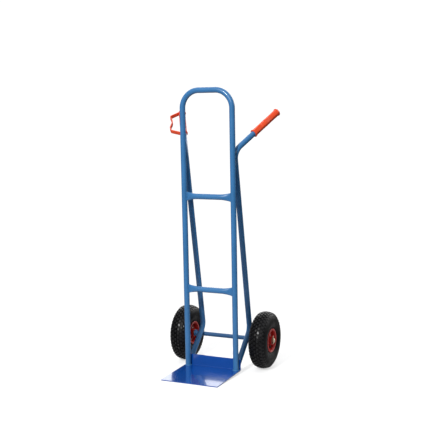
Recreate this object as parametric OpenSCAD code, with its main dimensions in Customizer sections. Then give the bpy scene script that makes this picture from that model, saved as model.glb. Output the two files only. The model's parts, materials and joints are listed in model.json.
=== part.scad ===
// Hand truck with a bent tube frame, fixed toe plate, knuckle-guard grips and two pneumatic wheels.
// X runs across the truck, -Y points to the toe plate, +Z up. The origin lies on the floor below the
// middle of the truck, which stands on its wheels and on the front edge of its toe plate.

/* [Frame] */
// Height of the hoop's top centre line above the underside of the toe plate
hoop_h = 1244; // [900:1:1500]
// Distance between the centre lines of the two uprights
upright_span = 236; // [190:1:300]
// Outside diameter of the frame tube
tube_d = 25; // [20:0.5:32]
// Wall thickness of the frame tube
tube_wall = 1.5; // [1:0.1:3]
// Centre-line radius of the hoop's two top bends
hoop_bend_r = 78; // [50:1:90]

/* [Crossbars] */
// Height of the lower crossbar's centre line
crossbar_low_z = 362; // [200:1:450]
// Height of the upper crossbar's centre line
crossbar_high_z = 781; // [600:1:850]
// Outside diameter of the round middle of a crossbar
crossbar_d = 25; // [18:0.5:28]
// Height of a crossbar's flattened ends
crossbar_flat_h = 38; // [26:0.5:40]
// Thickness of a crossbar's flattened ends
crossbar_flat_t = 5; // [3:0.5:8]
// Length over which the round tube flares into its flattened end
flare_len = 40; // [20:1:60]
// Length of the flattened end next to the upright
flat_len = 8; // [8:1:24]

/* [Toe plate] */
// Overhang of the toe plate beyond the outside of each upright
plate_margin = 4.5; // [0:0.5:60]
// Reach of the toe plate in front of the uprights' centre plane
plate_reach = 240; // [180:1:320]
// Thickness of the toe plate
plate_t = 4; // [3:0.5:6]
// Height of the upturned rear flange of the toe plate
flange_h = 53; // [40:1:80]
// Radius of the toe plate's front corners
plate_corner_r = 4; // [4:1:30]

/* [Side tubes] */
// Height where the handle and the brace of a side tube meet
handle_z = 980; // [850:1:1050]
// Height where the brace and the leg of a side tube meet
elbow_z = 151; // [120:1:220]
// Lean of the brace away from the upright, in degrees
brace_angle = 10.1; // [6:0.1:14]
// Height of the leg's lower side at its foot above the underside of the toe plate
foot_gap = 5; // [4:0.5:12]
// Centre-line radius of the bend between brace and handle
handle_bend_r = 60; // [50:1:80]
// Centre-line radius of the bend between brace and leg
elbow_bend_r = 48; // [40:1:55]
// Outward splay of the handle, in degrees from straight back
handle_splay = 29.1; // [10:0.1:40]
// Rise of the handle above the horizontal, in degrees
handle_rise = 33.7; // [15:0.1:50]
// Length of the handle from its bend's corner to the end of the grip
handle_len = 292; // [240:1:340]

/* [Grips] */
// Length of a grip
grip_len = 163; // [130:1:180]
// Wall thickness of a grip's sleeve
grip_wall = 3; // [2:0.5:6]
// Thickness of the closed end of a grip
grip_cap_t = 4; // [2:0.5:8]
// Height of a grip's end collars above its sleeve
grip_collar_h = 2.5; // [1:0.5:8]
// Width of the knuckle guard's strip
guard_w = 18; // [12:0.5:30]
// Thickness of the knuckle guard's strip
guard_t = 5; // [3:0.5:8]
// Distance of the knuckle guard's outer side from the grip's axis
guard_reach = 58; // [48:0.5:70]
// Depth of the finger waves in the guard's outer side
guard_wave = 9; // [0:0.5:12]
// Turn of the left guard about its grip, in degrees above level
guard_turn_left = -6; // [-30:1:60]
// Turn of the right guard about its grip, in degrees above level
guard_turn_right = 28; // [-30:1:60]

/* [Wheels] */
// Outside diameter of a tyre
wheel_d = 260; // [240:1:320]
// Width of a tyre
tyre_w = 85; // [70:1:90]
// Gap between a tyre and the side tube next to it
wheel_gap = 23.5; // [20:0.5:40]
// Thickness of a tyre's side wall
tyre_wall = 5; // [3:0.5:7]
// Wall thickness of an inner tube
inner_tube_wall = 1.5; // [1:0.1:3]
// Wall thickness of a rim's barrel
rim_wall = 5.5; // [4:0.5:8]
// Distance of a rim's flange inside the tyre's side
rim_inset = 10.5; // [9:0.5:14]
// Thickness of a rim's flange
rim_flange_t = 4; // [3:0.5:6]
// Height of a rim's flange above its barrel
rim_flange_h = 4.5; // [4:0.5:9]
// Number of spokes in a rim
spoke_count = 6; // [4:1:8]
// Width of a spoke
spoke_w = 10; // [8:0.5:14]
// Thickness of a spoke in each half of the rim
spoke_t = 12; // [8:0.5:16]

/* [Hubs] */
// Diameter of the axle
axle_d = 20; // [16:0.5:25]
// Length of a wheel's hub
hub_len = 75; // [60:1:82]
// Wall of a plastic hub around its steel sleeve
hub_wall = 4; // [3.5:0.5:6]
// Wall thickness of the steel sleeve in a hub
sleeve_wall = 1.2; // [1:0.1:2]
// Diameter of a bearing roller
roller_d = 3.2; // [3:0.1:4]
// Number of rollers in a bearing
roller_count = 9; // [6:1:10]
// Radial clearance of the rollers on the axle and in the sleeve
running_fit = 0.05; // [0.02:0.01:0.1]
// Distance from the elbow's corner along the leg to the axle
axle_along = 33.4; // [30:0.1:50]
// Length of axle beyond a split pin
axle_tip = 5; // [5:0.5:12]

/* [Hardware] */
// Thread diameter of a rim bolt
bolt_d = 6; // [5:0.5:8]
// Number of rim bolts
bolt_count = 3; // [3:3:6]
// Thickness of a washer
washer_t = 2; // [1.5:0.1:3]
// Width of a washer's rim beyond the bearing sleeve
washer_rim = 0.5; // [0.5:0.5:4]
// Wall thickness of an axle collar
collar_wall = 5; // [3:0.5:8]
// Width of an axle collar
collar_w = 7; // [5:0.5:10]
// Wire diameter of a closed split pin
split_pin_d = 4; // [3:0.2:5]

/* [Hidden] */
$fn = 96;

FRAME_BLUE = [0.13, 0.36, 0.68];
GRIP_RED = [0.90, 0.20, 0.12];
RIM_RED = [0.68, 0.13, 0.13];
TYRE_BLACK = [0.10, 0.10, 0.11];
ZINC = [0.75, 0.76, 0.78];

touch = 0.05;      // play between pieces that rest on or grip each other
loose_fit = 0.2;   // play of washers on the axle
cut = 1;           // overrun of a cutting solid
bend_swell = 0.25; // thickening of the tube's wall in a bend, which the straight runs end in
bend_lap = 0.2;    // length of a straight run inside the bend next to it
tube_r = tube_d / 2;
axle_r = axle_d / 2;
wheel_r = wheel_d / 2;
upright_x = upright_span / 2;
plate_w = upright_span + tube_d + 2 * plate_margin;
grip_d = tube_d + 2 * grip_wall;

function unit(v) = v / norm(v);

// Side tube: the brace's top just touches the upright, and the axle lies under the leg
handle_dir = [
    sin(handle_splay) * cos(handle_rise),
    cos(handle_splay) * cos(handle_rise),
    sin(handle_rise)
];
brace_dir = [0, -sin(brace_angle), cos(brace_angle)];
bend_out = unit(handle_dir - (handle_dir * brace_dir) * brace_dir);
bend_dip = handle_bend_r * (norm([brace_dir.y, bend_out.y]) - bend_out.y);
handle_corner_y = tube_d + bend_swell + touch + bend_dip
    + bend_tangent(brace_dir, handle_dir, handle_bend_r) * brace_dir.y;
handle_corner = [upright_x, handle_corner_y, handle_z];
elbow = [upright_x, handle_corner_y + (handle_z - elbow_z) * tan(brace_angle), elbow_z];
grip_end = handle_corner + handle_len * handle_dir;
flange_front_y = tube_r;
flange_rear_y = flange_front_y + plate_t;
foot_centre = [upright_x, flange_rear_y, tube_r + foot_gap];
leg_dir = unit(foot_centre - elbow);
leg_under = [0, -leg_dir.z, leg_dir.y];
leg_overrun = tube_d;
leg_foot = foot_centre + leg_dir * leg_overrun;

// Axle and the stack of parts on each of its ends
axle_centre = elbow + leg_dir * axle_along + leg_under * (tube_r + axle_r + touch);
wheel_x = upright_x + tube_r + wheel_gap + tyre_w / 2;
hub_play = 0.3;
inner_washer_x = wheel_x - hub_len / 2 - hub_play - washer_t;
outer_washer_x = wheel_x + hub_len / 2 + hub_play;
split_pin_x = outer_washer_x + washer_t + touch + split_pin_d / 2;
axle_end_x = split_pin_x + axle_tip;

// Standing pose: wheels and the plate's front edge are on the floor
contact_reach = plate_reach + axle_centre.y;
lean = asin(wheel_r / norm([contact_reach, axle_centre.z])) - atan2(axle_centre.z, contact_reach);
stand_lift = plate_reach * sin(lean);
front_y = -plate_reach * cos(lean) - plate_t * sin(lean);
rear_y = axle_centre.y * cos(lean) - axle_centre.z * sin(lean) + wheel_r;
stand_shift = -(front_y + rear_y) / 2;

// Wheel section: radii from the wheel's axis, heights from the wheel's middle plane
section_r = tyre_w / 2;
section_centre_r = wheel_r - section_r;
tread_half_w = tyre_w * 0.36;
crown_r = tyre_w * 0.7;
rim_seat_r = section_centre_r - section_r + tyre_wall;
rim_half_w = section_r - rim_inset;
bead_w = 8;
bead_top_r = section_centre_r - sqrt(pow(section_r - tyre_wall, 2) - pow(rim_half_w - bead_w, 2));
inner_tube_r = section_r - tyre_wall - 0.4;
sleeve_bore_r = axle_r + roller_d + 2 * running_fit;
sleeve_r = sleeve_bore_r + sleeve_wall;
hub_r = sleeve_r + hub_wall;
roller_pitch_r = axle_r + running_fit + roller_d / 2;
roller_len = hub_len - 10;
cage_wall = roller_d * 0.45;
cage_len = hub_len - 4;
bolt_circle_r = (hub_r + rim_seat_r - rim_wall) / 2;
boss_r = bolt_d / 2 + 4;
bolt_hole_r = bolt_d / 2 + loose_fit;
bolt_head_t = bolt_d * 0.6;
bolt_head_d = bolt_d * 1.9;
valve_r = 4.5;
valve_z = rim_half_w - bead_w - valve_r - 1;
valve_stem_end_r = (hub_r + rim_seat_r) / 2;
valve_cap_r = 4;
valve_cap_len = 9;

function turn_angle(a, b) = acos(a * b);
function bend_tangent(a, b, r) = r * tan(turn_angle(a, b) / 2);
function leg_of(path, i) = unit(path[i + 1] - path[i]);
function trim_at(path, radii, i) = radii[i] == 0 ? 0
    : bend_tangent(leg_of(path, i - 1), leg_of(path, i), radii[i]);
function run_start(path, radii, i) = radii[i] == 0 ? 0 : trim_at(path, radii, i) - bend_lap;
function across(v) = unit(cross(v, abs(v.x) < 0.9 ? [1, 0, 0] : [0, 1, 0]));

// Rounded outline of a strip: arc points at each corner of a flat path
function arc_at(p, q, s, r, steps) =
    let (a = unit(q - p), b = unit(s - q), t = bend_tangent(a, b, r))
    let (side = sign(a.x * b.y - a.y * b.x), start = q - t * a)
    let (centre = start + side * r * [-a.y, a.x])
    let (first = atan2(start.y - centre.y, start.x - centre.x))
    [for (i = [0:steps]) centre + r * [
        cos(first + side * turn_angle(a, b) * i / steps),
        sin(first + side * turn_angle(a, b) * i / steps)
    ]];
function rounded(path, radii, steps) = concat(
    [path[0]],
    [for (i = [1:len(path) - 2]) each arc_at(path[i - 1], path[i], path[i + 1], radii[i], steps)],
    [path[len(path) - 1]]
);
function way_at(path, i) = unit(path[min(i + 1, len(path) - 1)] - path[max(i - 1, 0)]);
function beside(path, d) = [
    for (i = [0:len(path) - 1]) path[i] + d * [-way_at(path, i).y, way_at(path, i).x]
];
function reversed(list) = [for (i = [len(list) - 1:-1:0]) list[i]];

// Places children with their own X and Z axes along the given directions
module aligned(origin, x_dir, z_dir) {
    y_dir = cross(z_dir, x_dir);
    multmatrix([
        [x_dir.x, y_dir.x, z_dir.x, origin.x],
        [x_dir.y, y_dir.y, z_dir.y, origin.y],
        [x_dir.z, y_dir.z, z_dir.z, origin.z]
    ]) children();
}

module ring(outer_r, inner_r, height) {
    difference() {
        cylinder(r = outer_r, h = height);
        translate([0, 0, -cut]) cylinder(r = inner_r, h = height + 2 * cut);
    }
}

// A tube along straight runs, with a round bend at each inner corner
module bent_tube(path, radii) {
    for (i = [0:len(path) - 2]) {
        way = leg_of(path, i);
        first = run_start(path, radii, i);
        last = norm(path[i + 1] - path[i]) - run_start(path, radii, i + 1);
        aligned(path[i] + first * way, across(way), way)
            ring(tube_r, tube_r - tube_wall, last - first);
    }
    for (i = [1:len(path) - 2]) {
        way = leg_of(path, i - 1);
        next = leg_of(path, i);
        inward = unit(next - (next * way) * way);
        centre = path[i] - trim_at(path, radii, i) * way + radii[i] * inward;
        aligned(centre, -inward, cross(-inward, way))
            rotate_extrude(angle = turn_angle(way, next))
                translate([radii[i], 0]) difference() {
                    circle(r = tube_r + bend_swell);
                    circle(r = tube_r - tube_wall - bend_swell);
                }
    }
}

// Leans the truck forward until wheels and toe plate both stand on the floor
module standing() {
    translate([0, stand_shift, stand_lift]) rotate([lean, 0, 0]) children();
}

// Draws children for the right side, or mirrored for the left one
module on_side(side) {
    standing() mirror([side == "left" ? 1 : 0, 0, 0]) children();
}

// Places children about the axle: local +Z points outward and the origin is at distance x
module on_axle(side, x) {
    on_side(side) translate([x, axle_centre.y, axle_centre.z]) rotate([0, 90, 0]) children();
}

module main_hoop() {
    color(FRAME_BLUE) standing() bent_tube([
        [-upright_x, 0, plate_t], [-upright_x, 0, hoop_h],
        [upright_x, 0, hoop_h], [upright_x, 0, plate_t]
    ], [0, hoop_bend_r, hoop_bend_r, 0]);
}

// Flattened tube: a flat strip with round edges, along +X
module flat_end(thickness, length) {
    round_z = (crossbar_flat_h - crossbar_flat_t) / 2;
    rotate([90, 0, 90]) linear_extrude(length) {
        for (z = [-round_z, round_z]) translate([0, z]) circle(d = thickness, $fn = 32);
        square([thickness, 2 * round_z], center = true);
    }
}

// Round tube whose flattened ends are coped to the uprights
module crossbar(z) {
    flat_x = upright_x - tube_r - flat_len;
    round_x = flat_x - flare_len;
    skin = 0.5;
    color(FRAME_BLUE) standing() translate([0, 0, z]) difference() {
        union() {
            translate([-round_x, 0, 0]) rotate([0, 90, 0])
                cylinder(d = crossbar_d, h = 2 * round_x, $fn = 32);
            for (m = [0, 1]) mirror([m, 0, 0]) {
                hull() {
                    translate([round_x - skin, 0, 0]) rotate([0, 90, 0])
                        cylinder(d = crossbar_d + skin, h = skin, $fn = 32);
                    translate([flat_x, 0, 0]) flat_end(crossbar_flat_t + skin, skin);
                }
                translate([flat_x, 0, 0]) flat_end(crossbar_flat_t, flat_len + tube_r);
            }
        }
        translate([-round_x, 0, 0]) rotate([0, 90, 0])
            cylinder(d = crossbar_d - 2 * tube_wall, h = 2 * round_x);
        for (m = [-1, 1]) translate([m * upright_x, 0, -crossbar_flat_h])
            cylinder(r = tube_r, h = 2 * crossbar_flat_h);
    }
}

module toe_plate() {
    straight_y = plate_reach - plate_corner_r;
    color(FRAME_BLUE) standing() {
        linear_extrude(plate_t) union() {
            for (m = [-1, 1]) translate([m * (plate_w / 2 - plate_corner_r), -straight_y])
                circle(r = plate_corner_r);
            translate([-plate_w / 2, -straight_y]) square([plate_w, straight_y + flange_front_y]);
            translate([plate_corner_r - plate_w / 2, -plate_reach])
                square([plate_w - 2 * plate_corner_r, plate_corner_r]);
        }
        translate([-plate_w / 2, 0, 0]) rotate([90, 0, 90]) linear_extrude(plate_w) {
            translate([flange_front_y, plate_t]) intersection() {
                circle(r = plate_t);
                translate([0, -plate_t]) square(plate_t);
            }
            translate([flange_front_y, plate_t]) square([plate_t, flange_h - plate_t]);
        }
    }
}

module axle() {
    color(FRAME_BLUE) standing() translate([0, axle_centre.y, axle_centre.z]) difference() {
        translate([-axle_end_x, 0, 0]) rotate([0, 90, 0]) cylinder(d = axle_d, h = 2 * axle_end_x);
        for (m = [-1, 1]) translate([m * split_pin_x, 0, -axle_d])
            cylinder(d = split_pin_d + 2 * touch, h = 2 * axle_d);
    }
}

// Handle, brace and leg, bent from one tube and cut off flush on the toe plate's flange
module side_tube(side) {
    color(FRAME_BLUE) on_side(side) difference() {
        bent_tube(
            [leg_foot, elbow, handle_corner, grip_end - (grip_cap_t + touch) * handle_dir],
            [0, elbow_bend_r, handle_bend_r, 0]
        );
        translate([0, flange_rear_y - 3 * leg_overrun, -2 * leg_overrun])
            cube([2 * upright_x, 3 * leg_overrun, 6 * leg_overrun]);
    }
}

// Plastic sleeve with end collars and a knuckle guard, moulded in one piece
module grip(side, turn) {
    root_r = grip_d / 2 - guard_t / 2;
    low = guard_t / 2;
    high = grip_len - guard_t / 2;
    inset = 24;
    line = rounded([
        [low, root_r],
        [low + inset, guard_reach - guard_t / 2],
        [grip_len * 0.3, guard_reach + guard_wave / 2 - guard_t / 2],
        [grip_len * 0.56, guard_reach - guard_wave - guard_t / 2],
        [high - inset, guard_reach - guard_t / 2],
        [high, root_r]
    ], [0, 9, 30, 60, 9, 0], 8);
    color(GRIP_RED) on_side(side) translate(grip_end - grip_len * handle_dir)
        rotate([handle_rise - 90, 0, -handle_splay]) rotate([0, 0, -turn]) difference() {
            union() {
                cylinder(d = grip_d, h = grip_len);
                for (z = [0, grip_len - guard_t])
                    translate([0, 0, z]) cylinder(r = grip_d / 2 + grip_collar_h, h = guard_t);
                rotate([0, -90, -90]) translate([0, 0, -guard_w / 2]) linear_extrude(guard_w)
                    polygon(concat(beside(line, guard_t / 2), reversed(beside(line, -guard_t / 2))));
            }
            translate([0, 0, -cut])
                cylinder(r = tube_r + touch, h = grip_len - grip_cap_t + cut);
        }
}

module axle_collar(side) {
    color(FRAME_BLUE) on_axle(side, inner_washer_x - touch - collar_w)
        ring(axle_r + collar_wall, axle_r + touch, collar_w);
}

module washer(side, x) {
    color(ZINC) on_axle(side, x) ring(sleeve_r + washer_rim, axle_r + loose_fit, washer_t);
}

// Closed split pin: a wire through the axle, with a round eye on top
module split_pin(side) {
    wire_r = split_pin_d / 4;
    eye_r = split_pin_d * 0.9;
    reach = axle_r + 5;
    color(ZINC) on_side(side) translate([split_pin_x, axle_centre.y, axle_centre.z]) {
        translate([0, 0, -reach]) cylinder(d = split_pin_d, h = 2 * reach);
        translate([0, 0, reach + eye_r]) rotate([0, 90, 0])
            rotate_extrude() translate([eye_r, 0]) circle(r = wire_r);
    }
}

module tyre(side) {
    color(TYRE_BLACK) on_axle(side, wheel_x) rotate_extrude() {
        difference() {
            union() {
                translate([section_centre_r, 0]) circle(r = section_r);
                intersection() {
                    translate([wheel_r - crown_r, 0]) circle(r = crown_r);
                    translate([section_centre_r, -tread_half_w]) square([section_r, 2 * tread_half_w]);
                }
            }
            translate([section_centre_r, 0]) circle(r = section_r - tyre_wall);
            translate([0, bead_w - rim_half_w])
                square([section_centre_r, 2 * (rim_half_w - bead_w)]);
        }
        for (m = [0, 1]) mirror([0, m])
            translate([rim_seat_r + touch, rim_half_w - bead_w])
                square([bead_top_r - rim_seat_r - touch, bead_w - touch]);
    }
}

module inner_tube(side) {
    color(TYRE_BLACK) on_axle(side, wheel_x) rotate_extrude()
        translate([section_centre_r, 0]) difference() {
            circle(r = inner_tube_r);
            circle(r = inner_tube_r - inner_tube_wall);
        }
}

// Half of a rim, from the wheel's middle plane outward along +Z
module rim_half() {
    difference() {
        union() {
            cylinder(r = hub_r, h = hub_len / 2);
            ring(rim_seat_r, rim_seat_r - rim_wall, rim_half_w + rim_flange_t);
            translate([0, 0, rim_half_w])
                ring(rim_seat_r + rim_flange_h, rim_seat_r - rim_wall, rim_flange_t);
            for (i = [0:spoke_count - 1]) rotate([0, 0, i * 360 / spoke_count])
                translate([hub_r - 2, -spoke_w / 2, 0])
                    cube([rim_seat_r - rim_wall / 2 - hub_r + 2, spoke_w, spoke_t]);
            for (i = [0:bolt_count - 1]) rotate([0, 0, i * 360 / bolt_count])
                translate([bolt_circle_r, 0, 0]) cylinder(r = boss_r, h = spoke_t);
        }
        translate([0, 0, -cut]) cylinder(r = sleeve_r, h = hub_len);
        for (i = [0:bolt_count - 1]) rotate([0, 0, i * 360 / bolt_count])
            translate([bolt_circle_r, 0, -cut]) cylinder(r = bolt_hole_r, h = spoke_t + 2 * cut);
    }
}

// Turn that puts the valve midway between two spokes
valve_turn = 180 / spoke_count;

module at_valve() {
    rotate([0, 0, valve_turn]) translate([0, 0, valve_z]) rotate([0, 90, 0]) children();
}

module rim_outer(side) {
    color(RIM_RED) on_axle(side, wheel_x) difference() {
        rim_half();
        at_valve() cylinder(r = valve_r + touch, h = 2 * rim_seat_r);
    }
}

module rim_inner(side) {
    color(RIM_RED) on_axle(side, wheel_x) mirror([0, 0, 1]) rim_half();
}

module valve_stem(side) {
    tube_face_r = section_centre_r - sqrt(pow(inner_tube_r, 2) - pow(valve_z - valve_r, 2));
    color(TYRE_BLACK) on_axle(side, wheel_x) at_valve()
        translate([0, 0, valve_stem_end_r])
            cylinder(r = valve_r, h = tube_face_r - touch - valve_stem_end_r);
}

module valve_cap(side) {
    color(TYRE_BLACK) on_axle(side, wheel_x) at_valve()
        translate([0, 0, valve_stem_end_r - valve_cap_len]) cylinder(r = valve_cap_r, h = valve_cap_len);
}

module hub_sleeve(side) {
    color(ZINC) on_axle(side, wheel_x - hub_len / 2) ring(sleeve_r, sleeve_bore_r, hub_len);
}

module roller_cage(side) {
    color("ivory") on_axle(side, wheel_x - cage_len / 2) difference() {
        ring(roller_pitch_r + cage_wall / 2, roller_pitch_r - cage_wall / 2, cage_len);
        for (i = [0:roller_count - 1]) rotate([0, 0, i * 360 / roller_count])
            translate([roller_pitch_r, 0, (cage_len - roller_len) / 2 - loose_fit])
                cylinder(r = roller_d / 2 + loose_fit, h = roller_len + 2 * loose_fit);
    }
}

module rollers(side) {
    color(ZINC) on_axle(side, wheel_x - roller_len / 2)
        for (i = [0:roller_count - 1]) rotate([0, 0, i * 360 / roller_count])
            translate([roller_pitch_r, 0, 0]) cylinder(d = roller_d, h = roller_len);
}

// Hexagon bolts: heads on the outer half, shanks through both halves
module rim_bolts(side) {
    nut_end = spoke_t + bolt_head_t + 2;
    color(ZINC) on_axle(side, wheel_x)
        for (i = [0:bolt_count - 1]) rotate([0, 0, i * 360 / bolt_count])
            translate([bolt_circle_r, 0, 0]) {
                translate([0, 0, spoke_t]) cylinder(d = bolt_head_d, h = bolt_head_t, $fn = 6);
                translate([0, 0, -nut_end]) cylinder(d = bolt_d, h = nut_end + spoke_t);
            }
}

module rim_nuts(side) {
    color(ZINC) on_axle(side, wheel_x)
        for (i = [0:bolt_count - 1]) rotate([0, 0, i * 360 / bolt_count])
            translate([bolt_circle_r, 0, -spoke_t - bolt_head_t]) difference() {
                cylinder(d = bolt_head_d, h = bolt_head_t, $fn = 6);
                translate([0, 0, -cut]) cylinder(r = bolt_d / 2 + touch, h = bolt_head_t + 2 * cut);
            }
}

main_hoop();
crossbar(crossbar_low_z);  // crossbar_lower
crossbar(crossbar_high_z);  // crossbar_upper
toe_plate();
axle();
side_tube("left");  // side_tube_left
side_tube("right");  // side_tube_right
grip("left", guard_turn_left);  // grip_left
grip("right", guard_turn_right);  // grip_right
axle_collar("left");  // axle_collar_left
axle_collar("right");  // axle_collar_right
washer("left", inner_washer_x);  // inner_washer_left
washer("right", inner_washer_x);  // inner_washer_right
washer("left", outer_washer_x);  // outer_washer_left
washer("right", outer_washer_x);  // outer_washer_right
split_pin("left");  // split_pin_left
split_pin("right");  // split_pin_right
tyre("left");  // tyre_left
tyre("right");  // tyre_right
inner_tube("left");  // inner_tube_left
inner_tube("right");  // inner_tube_right
valve_stem("left");  // valve_stem_left
valve_stem("right");  // valve_stem_right
valve_cap("left");  // valve_cap_left
valve_cap("right");  // valve_cap_right
rim_outer("left");  // rim_outer_left
rim_outer("right");  // rim_outer_right
rim_inner("left");  // rim_inner_left
rim_inner("right");  // rim_inner_right
hub_sleeve("left");  // hub_sleeve_left
hub_sleeve("right");  // hub_sleeve_right
roller_cage("left");  // roller_cage_left
roller_cage("right");  // roller_cage_right
rollers("left");  // rollers_left
rollers("right");  // rollers_right
rim_bolts("left");  // rim_bolts_left
rim_bolts("right");  // rim_bolts_right
rim_nuts("left");  // rim_nuts_left
rim_nuts("right");  // rim_nuts_right
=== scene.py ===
import json
import math

import bmesh
import bpy
from mathutils import Matrix, Vector


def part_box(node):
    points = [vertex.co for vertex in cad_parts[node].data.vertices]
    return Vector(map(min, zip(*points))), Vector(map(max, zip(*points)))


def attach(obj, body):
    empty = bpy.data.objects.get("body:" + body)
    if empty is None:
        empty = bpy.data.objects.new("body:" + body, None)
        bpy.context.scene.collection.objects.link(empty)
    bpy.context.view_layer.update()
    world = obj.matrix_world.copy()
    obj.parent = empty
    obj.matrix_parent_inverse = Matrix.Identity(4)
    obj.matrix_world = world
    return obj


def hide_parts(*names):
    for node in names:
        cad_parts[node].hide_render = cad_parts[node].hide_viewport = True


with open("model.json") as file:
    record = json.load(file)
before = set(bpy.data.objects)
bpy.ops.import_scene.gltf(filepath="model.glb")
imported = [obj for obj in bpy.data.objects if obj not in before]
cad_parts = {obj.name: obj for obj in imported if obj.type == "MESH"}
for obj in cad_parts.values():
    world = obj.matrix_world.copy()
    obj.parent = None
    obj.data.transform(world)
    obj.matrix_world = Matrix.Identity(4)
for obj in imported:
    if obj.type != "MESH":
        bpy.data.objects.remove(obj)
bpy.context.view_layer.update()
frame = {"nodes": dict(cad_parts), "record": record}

# ---------------------------------------------------------------- sizes in metres, angles in radians
MM = 0.001
TUBE_R = 12.5 * MM
BEND_SWELL = 0.25 * MM
HOOP_BEND_R = 78 * MM
CROSSBAR_R = 12.5 * MM
CROSSBAR_FLAT_H = 38 * MM
CROSSBAR_FLAT_T = 5 * MM
CROSSBAR_FLAT_LEN = 2 * MM
CROSSBAR_FLARE = 48 * MM
HANDLE_Z = 980 * MM
ELBOW_Z = 151 * MM
BRACE_ANGLE = math.radians(10.1)
HANDLE_SPLAY = math.radians(29.1)
HANDLE_RISE = math.radians(33.7)
HANDLE_LEN = 292 * MM
HANDLE_BEND_R = 60 * MM
ELBOW_BEND_R = 48 * MM
TUBE_CONTACT = 25.3 * MM
FOOT_Z = 17.5 * MM
PLATE_T = 4 * MM
PLATE_CORNER_R = 4 * MM
GRIP_LEN = 163 * MM
GRIP_R = 15.5 * MM
GRIP_COLLAR_R = 18 * MM
GUARD_W = 18 * MM
GUARD_T = 5 * MM
GUARD_REACH = 58 * MM
GUARD_WAVE = 9 * MM
GUARD_INSET = 24 * MM
GUARD_TURN = {"left": math.radians(-6), "right": math.radians(28)}
AXLE_R = 10 * MM
HUB_R = 18.5 * MM
SLEEVE_R = 14.5 * MM
RIM_SEAT_R = 50 * MM
RIM_WALL = 5.5 * MM
RIM_HALF_W = 32 * MM
RIM_LIP_R = 54.5 * MM
SPOKE_T = 12 * MM
SPOKE_COUNT = 6
BOLT_COUNT = 3
BOLT_R = 3 * MM
BOLT_CIRCLE_R = (HUB_R + RIM_SEAT_R - RIM_WALL) / 2
HEX_ACROSS = 10 * MM
HEX_CHAMFER = 0.8 * MM
RIM_WASHER_R = 6.2 * MM
RIM_WASHER_T = 0.8 * MM
COLLAR_R = 15 * MM
SIDES = {"left": -1, "right": 1}

# ---------------------------------------------------------------- the truck's own frame
# The truck leans forward until its toe plate's edge is on the floor. Its own frame has z = 0 on the
# underside of the toe plate and y = 0 in the plane of the uprights.
rest_axis = frame["record"]["mounts"][0]["axis"]
lean = math.asin(rest_axis[1])
lean_turn = Matrix.Rotation(lean, 4, "X")


def own_box(node):
    """Lowest and highest corner of a CAD node, measured along the truck's own axes."""
    back = lean_turn.inverted()
    points = [back @ v.co for v in frame["nodes"][node].data.vertices]
    low = Vector([min(p[i] for p in points) for i in range(3)])
    high = Vector([max(p[i] for p in points) for i in range(3)])
    return low, high


hoop_low, hoop_high = own_box("main_hoop")
plate_low, plate_high = own_box("toe_plate")
axle_low, axle_high = own_box("axle")
own_origin = Vector((0, (hoop_low.y + hoop_high.y) / 2, plate_low.z))
to_row = lean_turn @ Matrix.Translation(own_origin)
# The CAD hoop is BEND_SWELL fatter in its bends, which is where its box is measured. UPRIGHT_X leaves
# that out, so the drawn uprights stand that much further out than the CAD's.
UPRIGHT_X = hoop_high.x - TUBE_R
HOOP_Z = hoop_high.z - own_origin.z - TUBE_R - BEND_SWELL
FLANGE_REAR_Y = plate_high.y - own_origin.y
FLANGE_Z = plate_high.z - own_origin.z
PLATE_FRONT_Y = plate_low.y - own_origin.y
PLATE_W = plate_high.x - plate_low.x
AXLE = (axle_low + axle_high) / 2 - own_origin
AXLE_END_X = axle_high.x
tyre_low, tyre_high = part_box("tyre_right")
sleeve_low, sleeve_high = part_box("hub_sleeve_right")
WHEEL = (tyre_low + tyre_high) / 2
WHEEL_R = (tyre_high.z - tyre_low.z) / 2
TYRE_HALF_W = (tyre_high.x - tyre_low.x) / 2
HUB_HALF = (sleeve_high.x - sleeve_low.x) / 2


# ---------------------------------------------------------------- material nodes
class Shade:
    """A Principled material with short calls for the procedural nodes that this scene uses."""

    def __init__(self, name, **values):
        self.material = bpy.data.materials.new(name)
        self.material.use_nodes = True
        self.tree = self.material.node_tree
        self.shader = self.tree.nodes["Principled BSDF"]
        for key, value in values.items():
            self.shader.inputs[key.replace("_", " ")].default_value = value
        self.coords = self.tree.nodes.new("ShaderNodeTexCoord").outputs["Object"]

    def node(self, kind, **inputs):
        made = self.tree.nodes.new(kind)
        for key, value in inputs.items():
            made.inputs[key].default_value = value
        return made

    def link(self, out, into):
        self.tree.links.new(out, into)

    def noise(self, scale, detail=3.0, roughness=0.5, stretch=None):
        made = self.node("ShaderNodeTexNoise", Scale=scale, Detail=detail, Roughness=roughness)
        coords = self.coords
        if stretch:
            mapping = self.node("ShaderNodeMapping", Scale=stretch)
            self.link(coords, mapping.inputs["Vector"])
            coords = mapping.outputs["Vector"]
        self.link(coords, made.inputs["Vector"])
        return made.outputs["Fac"]

    def ramp(self, factor, stops):
        made = self.tree.nodes.new("ShaderNodeValToRGB")
        elements = made.color_ramp.elements
        for i, (place, colour) in enumerate(stops):
            element = elements[i] if i < 2 else elements.new(place)
            element.position = place
            element.color = (*colour, 1)
        self.link(factor, made.inputs["Fac"])
        return made.outputs["Color"]

    def span(self, factor, low, high, from_low=0.3, from_high=0.7):
        made = self.node("ShaderNodeMapRange", **{
            "From Min": from_low, "From Max": from_high, "To Min": low, "To Max": high})
        self.link(factor, made.inputs["Value"])
        return made.outputs["Result"]

    def bump(self, height, strength, distance, before=None):
        made = self.node("ShaderNodeBump", Strength=strength, Distance=distance)
        self.link(height, made.inputs["Height"])
        if before:
            self.link(before, made.inputs["Normal"])
        return made.outputs["Normal"]

    def colour(self, socket):
        self.link(socket, self.shader.inputs["Base Color"])

    def roughness(self, socket):
        self.link(socket, self.shader.inputs["Roughness"])

    def normal(self, socket):
        self.link(socket, self.shader.inputs["Normal"])


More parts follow.
